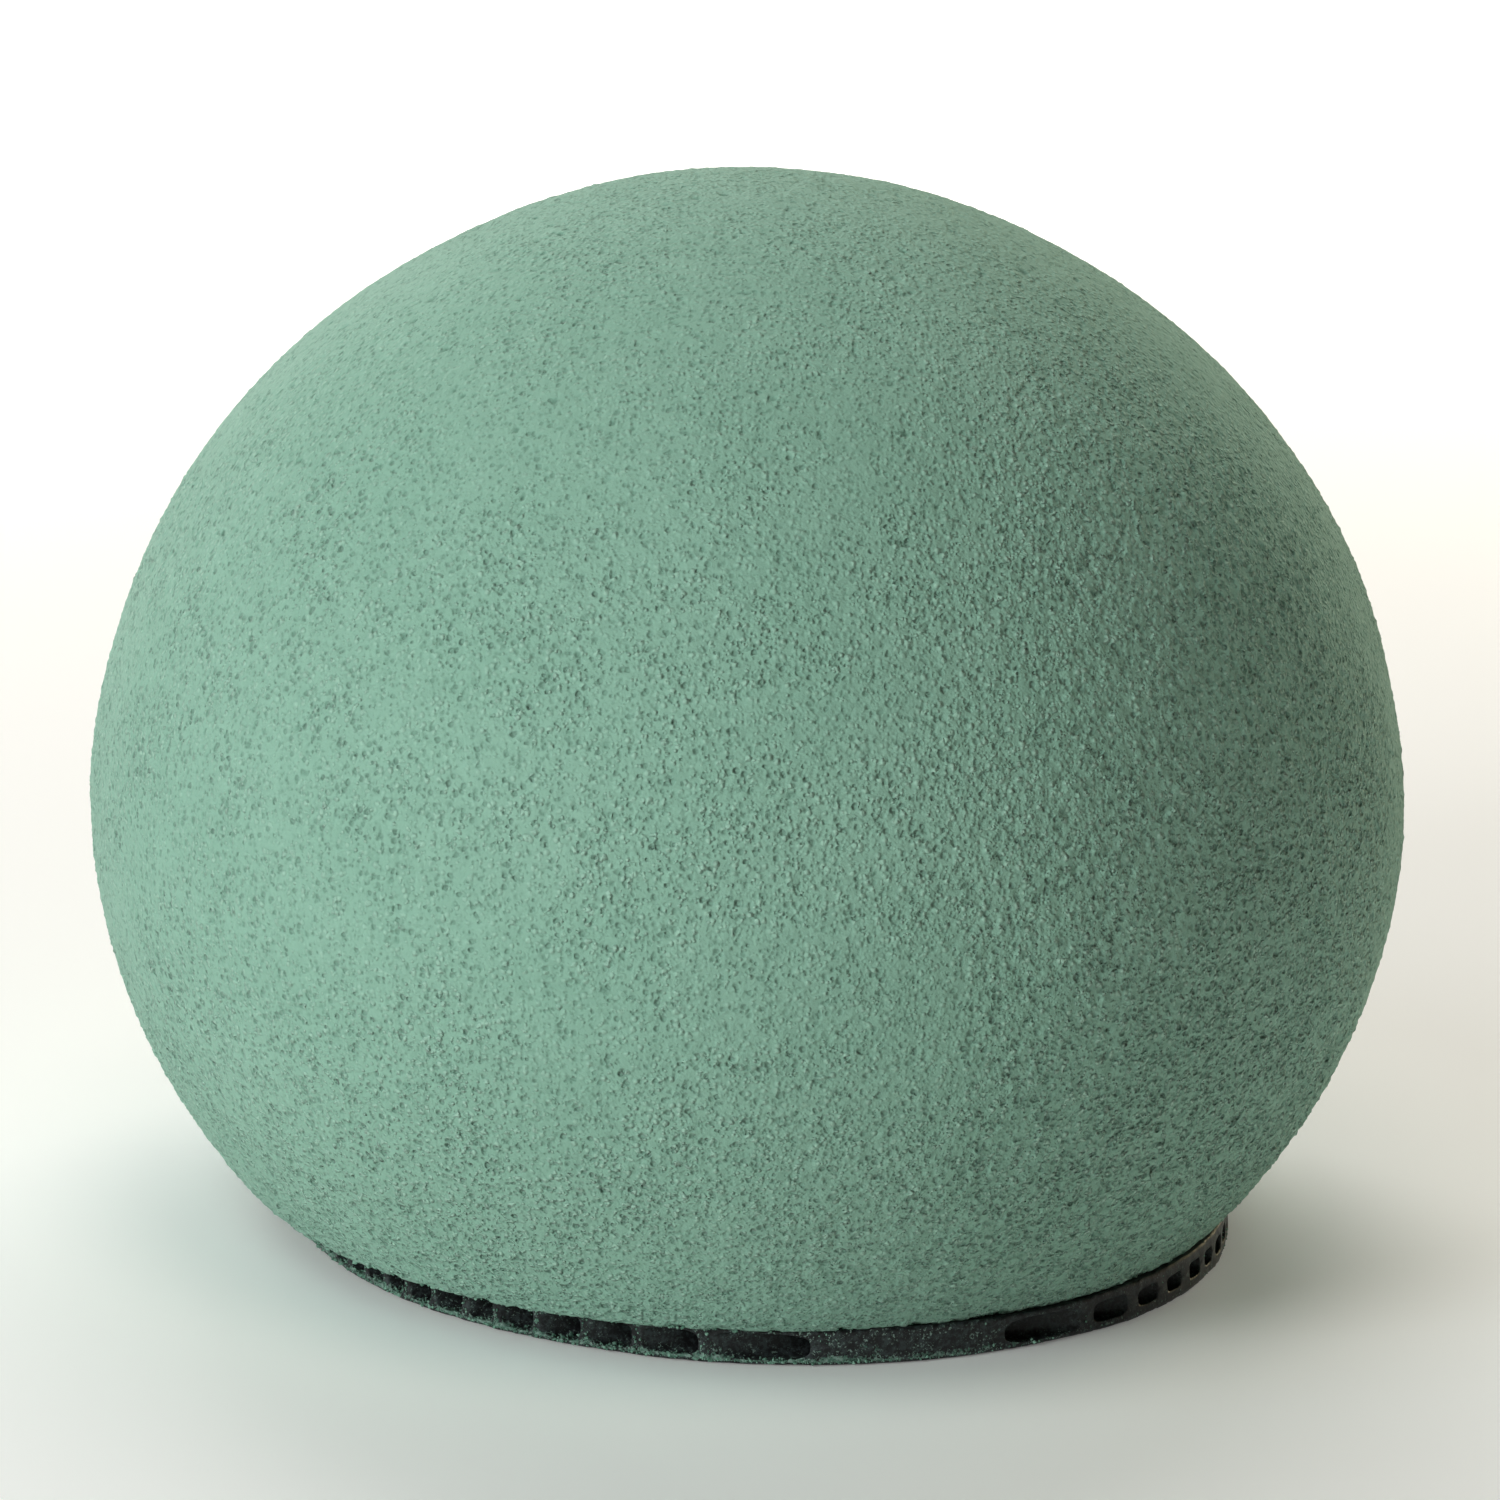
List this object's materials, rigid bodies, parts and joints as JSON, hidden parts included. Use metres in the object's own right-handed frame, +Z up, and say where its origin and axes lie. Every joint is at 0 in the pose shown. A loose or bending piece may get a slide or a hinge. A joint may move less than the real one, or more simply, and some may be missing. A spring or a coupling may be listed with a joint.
{
  "type": "floral foam dome on base board",
  "caption": "Rigid sea-green floral foam dome, nearly a ball cut flat underneath, glued to a thin round black fluted plastic board that it stands on.",
  "frame": {"origin": "on the dome's axis, in the plane of the board's underside", "axes": "+Z up along the dome's axis, -Y to the front, +X to the right; the board's centre is 3.9 mm to the right of the dome's axis and 2.1 mm in front of it"},
  "size_m": [0.185, 0.185, 0.1488],
  "materials": {
    "foam": "open-cell phenolic foam, dry and dead matt, with a turned and rubbed surface of fine pits and grain",
    "board": "black extruded twin-wall polypropylene board, satin skins, sawn rim with green foam dust",
    "glue": "set hot-melt adhesive, milky and slightly glossy"
  },
  "bodies": {
    "root": {"foam_dome": "foam", "base_board": "board", "glue_bead_outer": "glue", "glue_bead_inner": "glue", "glue_dab_centre": "glue"}
  },
  "joints": []
}
